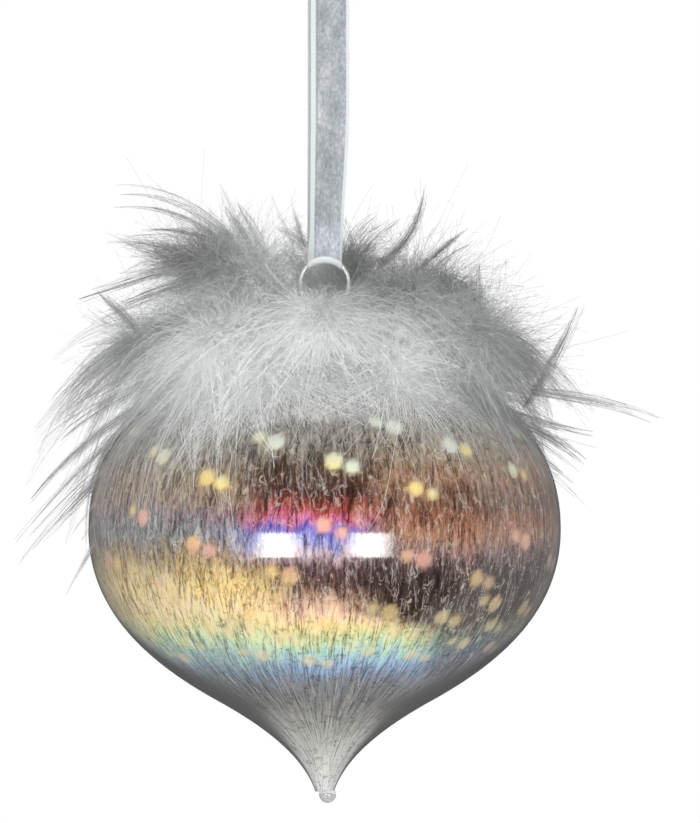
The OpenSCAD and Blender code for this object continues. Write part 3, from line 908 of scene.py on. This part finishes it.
def make_plumes(material):
    """Every plume of the frame: low ones over the shoulder, middle ones out, top ones up."""
    for node in sorted(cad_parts):
        if not node.startswith("plume_") or node == "plume_core":
            continue
        row = node.split("_")[1]
        look = dict(PLAIN, lean=rng.uniform(-0.25, 0.25))
        azimuth = spine_of(node)[0]
        right = math.cos(azimuth)             # 1 on the right, -1 on the left
        on_right, on_left = right > 0.3, right < -0.3
        facing = max(0, -math.sin(azimuth))   # 1 at the front
        look.update(per_lock=round(20 - 8 * facing), swell=1.3 + 0.9 * facing, spread=55 + 20 * facing,
                    fluff=round(1800 + 700 * facing), fluff_long=12 - 2 * facing)
        if row == "low":
            look.update(long=22 - 2 * right - 5.5 * facing, droop=0.4, lift=0.2,
                        locks=34 - round(10 * facing),
                        laid=round(3 + 40 * max(0, -right)), laid_spread=0.45, laid_low=-2)
        elif row == "mid":
            look.update(long=22 - 3 * right, droop=0.55 - 0.05 * right, quill=0.66, locks=36, lift=0.4,
                        sink=3.5 if on_right else 4 if on_left else 0)
        elif on_right:
            look.update(long=12, droop=0.55, quill=0.5, lift=0.35, sink=5, fluff=1500)
        else:
            look.update(long=17, droop=0.2, quill=0.55, lift=0.6, spread=60, fluff=1500)
        make_plume(node, material, look)


# Loose wisps at the edge of the plumes: points in mm from the ring's centre (right, behind, up)
WISPS = [
    [(5, 3, 8), (7, 4, 15), (10, 4, 21), (13, 4, 26)],
    [(9, 6, 3), (14, 7, 7), (17, 7, 12), (17, 7, 17)],
    [(14, 6, 1), (19, 7, 5), (22, 7, 8), (24, 7, 9)],
    [(26, 5, -9), (26, 5, -4), (26, 5, 0), (26, 5, 3)],
    [(34, 2, -21), (38, 1, -15), (41, 1, -9), (43, 1, -4)],
    [(30, -2, -18), (39, -3, -19), (48, -3, -20), (56, -3, -24)],
    [(28, -4, -22), (35, -5, -24), (41, -5, -28), (44, -5, -31)],
    [(27, -2, -20), (34, -2, -23), (40, -2, -25), (46, -2, -26)],
    [(25, -6, -24), (32, -7, -26), (38, -7, -30), (42, -7, -34)],
    [(-14, 6, 3), (-19, 7, 10), (-28, 7, 14), (-36, 6, 13)],
    [(-12, 6, 3), (-18, 7, 8), (-25, 7, 10), (-33, 6, 9)],
    [(-10, 6, 5), (-12, 6, 9), (-14, 6, 12), (-15, 6, 14)],
    [(-4, 5, 6), (-5, 5, 9), (-6, 5, 12), (-7, 5, 15)],
    [(-18, 5, 4), (-26, 5, 3), (-34, 5, 0), (-43, 4, -3)],
    [(-20, 5, 1), (-27, 5, 0), (-33, 5, -3), (-38, 4, -5)],
    [(-31, 3, -9), (-34, 3, -5), (-37, 3, -3), (-39, 3, -1)],
    [(-26, 0, -12), (-33, -1, -14), (-41, -2, -19), (-47, -2, -24)],
    [(-24, 0, -15), (-32, -1, -18), (-40, -2, -22), (-45, -2, -27)],
    [(-24, -3, -20), (-34, -4, -24), (-43, -5, -33), (-53, -5, -45)],
    [(-25, -3, -18), (-36, -4, -22), (-44, -5, -30), (-50, -5, -37)],
    [(-24, -5, -24), (-33, -6, -28), (-42, -7, -37), (-50, -7, -46)],
    [(-23, -6, -22), (-33, -7, -27), (-40, -8, -35), (-46, -8, -43)],
    [(-22, -8, -26), (-31, -9, -32), (-38, -10, -42), (-43, -10, -52)],
    [(-22, -9, -24), (-30, -10, -30), (-37, -11, -37), (-41, -11, -44)],
]


def make_wisps(material):
    """Thin tapering locks laid along curves through listed points."""
    centre = np.array([0, 0, RING_Z])
    steps = 13
    guides = np.array([[bezier(np.array(points, float) * MM, t) + centre for t in np.linspace(0, 1, steps)]
                       for points in WISPS])
    apart = np.linspace(0.6, 1, steps)[None, :, None] * MM
    beside = [guides[1:] + rng.normal(size=(len(guides) - 1, 1, 3)) * gap * apart for gap in (1.2, 1.8)]
    barbs = np.concatenate([locks(guides[:1], 10, 0.2 * MM), locks(guides[1:], 17, 0.55 * MM),
                            locks(beside[0], 10, 0.5 * MM), locks(beside[1], 6, 0.5 * MM)])
    soft = barbules(barbs, 12, 1.4 * MM, 0.75)
    # a nest of short down behind the ring, all of it behind the ribbon
    nest_middle, nest_half = np.array([0, 4.5 * MM, RING_Z]), np.array([5.2, 2.5, 5.2])
    root = nest_middle + rng.uniform(-1, 1, (1300, 3)) * nest_half * MM
    nest = grow(root, unit(rng.normal(size=root.shape)), rng.uniform(2, 5, len(root)) * MM, 5, 0.1, 0.6)
    mesh = strands("plume_wisps", [
        (barbs, 0.085 * MM, 0.05 * MM),
        (soft, 0.04 * MM, 0.025 * MM),
        (nest[nest[..., 1].min(axis=1) > 1.3 * MM], 0.06 * MM, 0.03 * MM),
    ])
    wisps = new_piece("plume_wisps", mesh, material, "hanger")


down = plume_material()
make_plumes(down)
make_wisps(down)


# ---- CAD parts that keep their shape ----
def dress(node, material):
    """Gives a CAD node its material."""
    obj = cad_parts[node]
    obj.data.materials.clear()
    obj.data.materials.append(material)


dress("hanger_wire", wire_material())
dress("cap_crown", cap_material())
dress("plume_core", core_material())
dress("tip_bead", tip_material())
pearls = bead_material()
for name in BEADS:
    dress(name, pearls)


# ---- stage and light ----
def area_light(name, place, size, power, aim):
    """A softbox that faces a point."""
    data = bpy.data.lights.new(name, "AREA")
    data.shape = "RECTANGLE"
    data.size, data.size_y = size
    data.energy = power
    light = bpy.data.objects.new(name, data)
    light.location = place
    light.rotation_euler = (Vector(aim) - Vector(place)).to_track_quat("-Z", "Y").to_euler()
    light.visible_transmission = False  # or the glass's edge refracts it and melts into the white room
    bpy.context.collection.objects.link(light)


SOFTBOX_POWER = 3.2
SOFTBOX_SIZE = (0.24, 0.225)
SOFTBOX_ASIDE, SOFTBOX_AHEAD, SOFTBOX_BELOW = 0.30, 0.74, 0.122  # from the middle of the glass
BACKDROP, FILL, MIRRORED = 1.0, 0.62, 0.14  # the white room, to the camera, as fill and in gloss
FLOOR_HALF, FLOOR_DROP = 1.5, 0.3        # half the floor's side, and its depth below the tip


def set_lamps():
    """Two softboxes low in front, one on each side."""
    centre = Vector((0, 0, WIDE_Z))
    for side, name in ((-1, "softbox_left"), (1, "softbox_right")):
        place = centre + Vector((side * SOFTBOX_ASIDE, -SOFTBOX_AHEAD, -SOFTBOX_BELOW))
        area_light(name, place, SOFTBOX_SIZE, SOFTBOX_POWER, centre)


def set_floor():
    """A pale floor, well below the ornament."""
    s = Shader("pale_floor")
    tint = s.ramp(s.noise(s.place, 6, 2), [(0.3, (236, 236, 236)), (0.7, (242, 242, 242))])
    s.put(Base_Color=tint, Roughness=0.8)
    corners = [(x * FLOOR_HALF, y * FLOOR_HALF, 0) for x, y in ((-1, -1), (1, -1), (1, 1), (-1, 1))]
    floor = new_piece("floor", quads_mesh("floor", corners, [(0, 1, 2, 3)]), s.material)
    floor.location.z = glass_low.z - FLOOR_DROP
    floor.visible_glossy = False


def set_room():
    """A white room, whose brightness differs by the kind of ray that meets it."""
    world = bpy.data.worlds.new("studio")
    world.use_nodes = True
    tree = world.node_tree
    background = tree.nodes["Background"]
    seen = tree.nodes.new("ShaderNodeLightPath")
    strength = FILL
    for ray, level in (("Is Camera Ray", BACKDROP), ("Is Glossy Ray", MIRRORED)):
        choose = tree.nodes.new("ShaderNodeMix")
        tree.links.new(seen.outputs[ray], choose.inputs[0])
        if isinstance(strength, bpy.types.NodeSocket):
            tree.links.new(strength, choose.inputs[2])
        else:
            choose.inputs[2].default_value = strength
        choose.inputs[3].default_value = level
        strength = choose.outputs[0]
    tree.links.new(strength, background.inputs["Strength"])
    background.inputs["Color"].default_value = (1, 1, 1, 1)
    scene = bpy.context.scene
    scene.world = world
    scene.view_settings.view_transform = "Standard"


set_lamps()
set_floor()
set_room()
